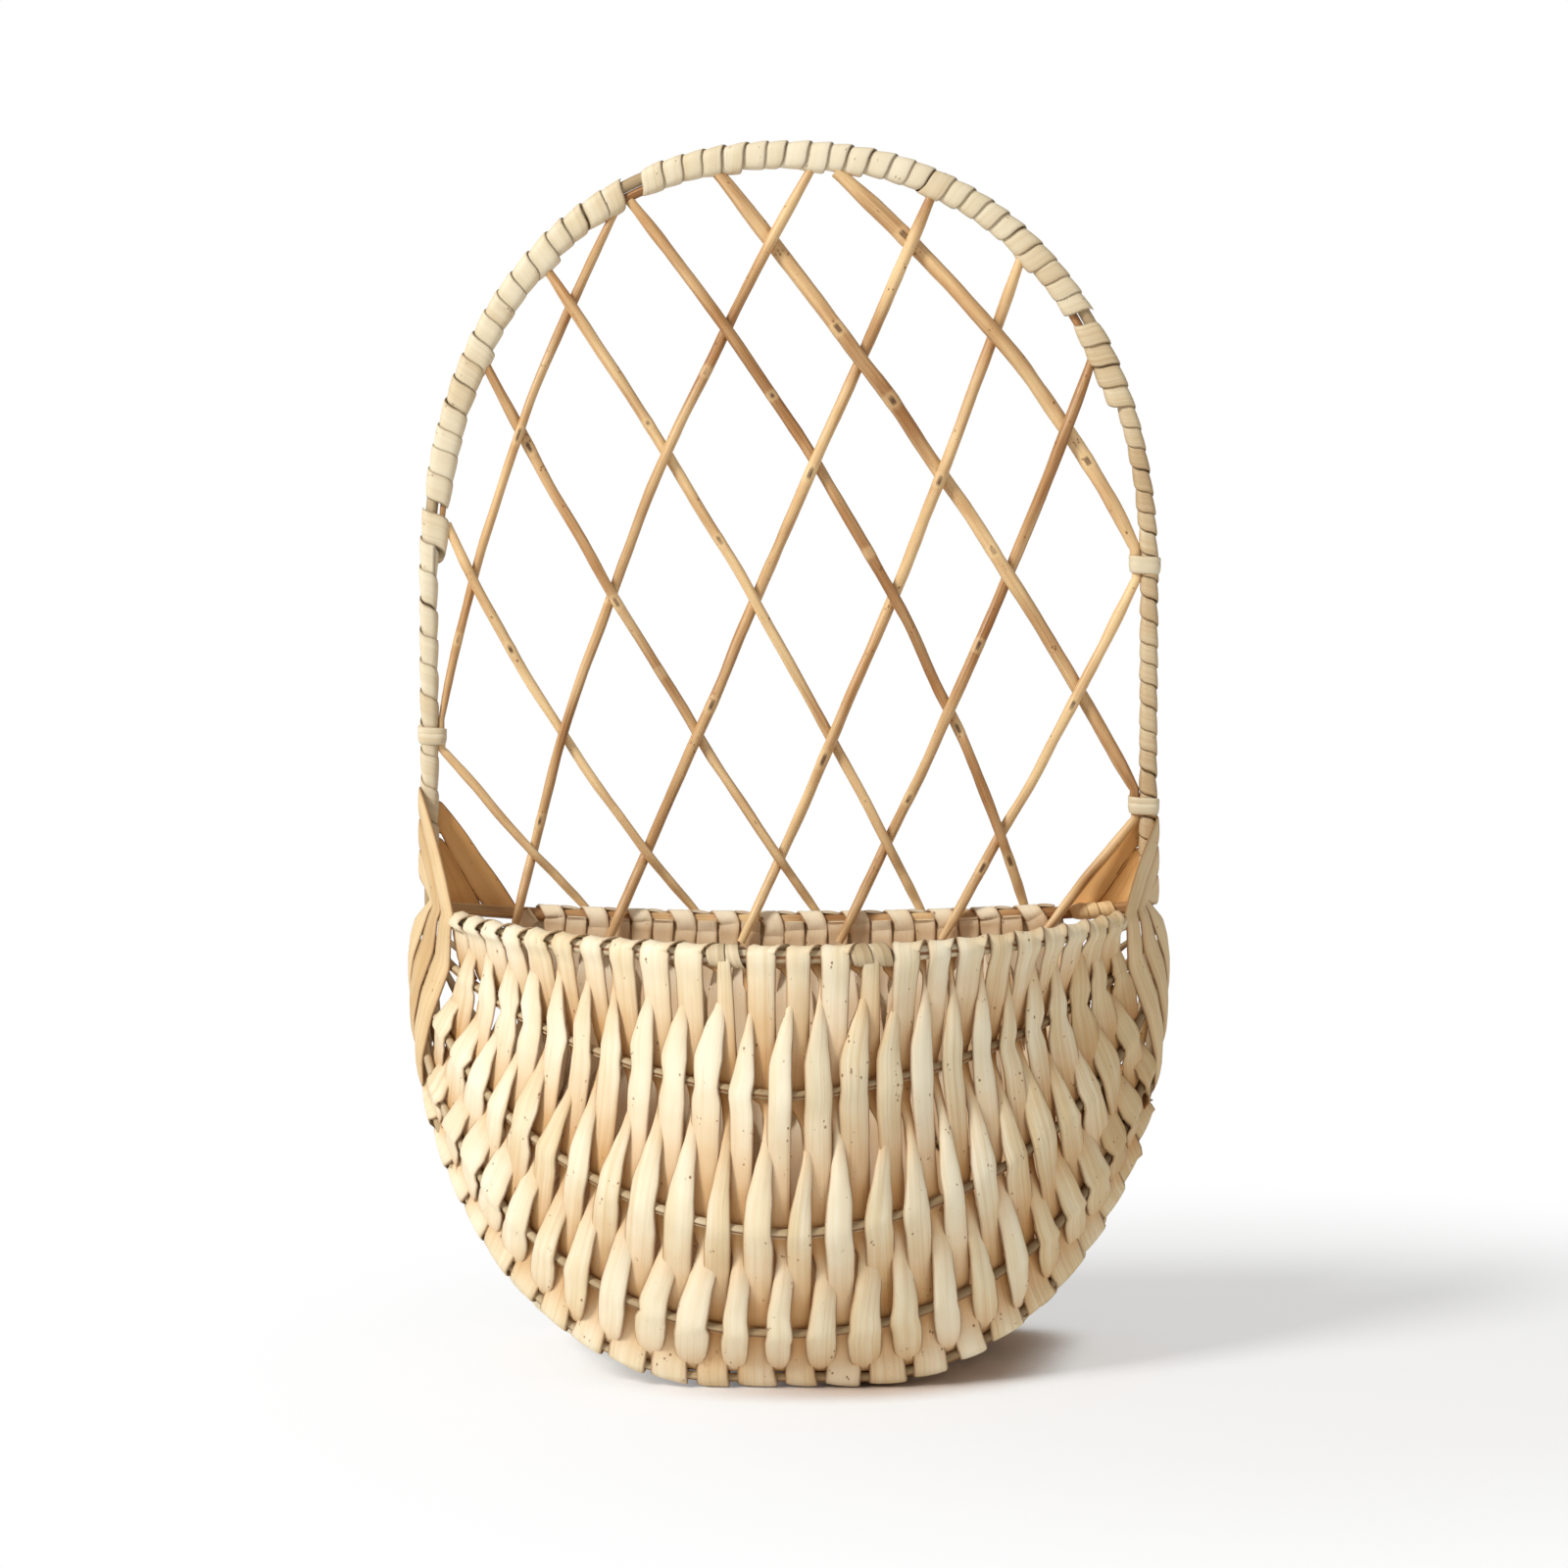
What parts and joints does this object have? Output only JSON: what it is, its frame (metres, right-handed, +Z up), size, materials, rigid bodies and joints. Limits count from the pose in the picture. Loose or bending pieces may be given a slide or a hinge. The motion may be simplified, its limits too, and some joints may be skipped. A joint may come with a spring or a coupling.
{
  "type": "wall basket",
  "caption": "Half-round wicker wall pocket with a flat back, under a tall bound arch filled by an open lattice of crossed sticks; hangs on a wall or stands.",
  "frame": {"origin": "on the floor, under the centre of the basket's bounding box", "axes": "+Z up, -Y the rounded front of the pocket, +Y the flat back that goes against the wall, +X to the right seen from the front"},
  "size_m": [0.303, 0.154, 0.4761],
  "materials": {
    "peeled_strip": "satin split willow, cream to tan",
    "binding_strip": "satin pale split willow",
    "lashing_strip": "satin tan split willow",
    "round_stick": "peeled round willow, light brown",
    "pale_rod": "split rod, pale grey-cream"
  },
  "bodies": {
    "root": {"hoop_rod": "pale_rod", "arch_liner_rod": "round_stick", "left_leg_binding": "binding_strip", "left_arch_binding": "binding_strip", "top_arch_binding": "binding_strip", "right_leg_binding": "binding_strip", "front_rim_rod": "pale_rod", "upper_front_rib": "pale_rod", "middle_front_rib": "pale_rod", "lower_front_rib": "pale_rod", "base_edge_rib": "pale_rod", "base_rib": "pale_rod", "lower_back_rib": "pale_rod", "upper_back_rib": "pale_rod", "back_rim_rod": "pale_rod", "weaver_01": "peeled_strip", "weaver_02": "peeled_strip", "weaver_03": "peeled_strip", "weaver_04": "peeled_strip", "weaver_05": "peeled_strip", "weaver_06": "peeled_strip", "weaver_07": "peeled_strip", "weaver_08": "peeled_strip", "weaver_09": "peeled_strip", "weaver_10": "peeled_strip", "weaver_11": "peeled_strip", "weaver_12": "peeled_strip", "left_lashing_1": "lashing_strip", "left_lashing_2": "lashing_strip", "left_lashing_3": "lashing_strip", "left_inner_lashing_1": "lashing_strip", "left_inner_lashing_2": "lashing_strip", "right_lashing_1": "lashing_strip", "right_lashing_2": "lashing_strip", "right_lashing_3": "lashing_strip", "right_inner_lashing_1": "lashing_strip", "right_inner_lashing_2": "lashing_strip", "left_tie": "binding_strip", "right_upper_tie": "binding_strip", "right_lower_tie": "binding_strip", "falling_stick_1": "round_stick", "falling_stick_2": "round_stick", "falling_stick_3": "round_stick", "falling_stick_4": "round_stick", "falling_stick_5": "round_stick", "falling_stick_6": "round_stick", "falling_stick_7": "round_stick", "rising_stick_1": "round_stick", "rising_stick_2": "round_stick", "rising_stick_3": "round_stick", "rising_stick_4": "round_stick", "rising_stick_5": "round_stick", "rising_stick_6": "round_stick", "rising_stick_7": "round_stick"}
  },
  "joints": []
}
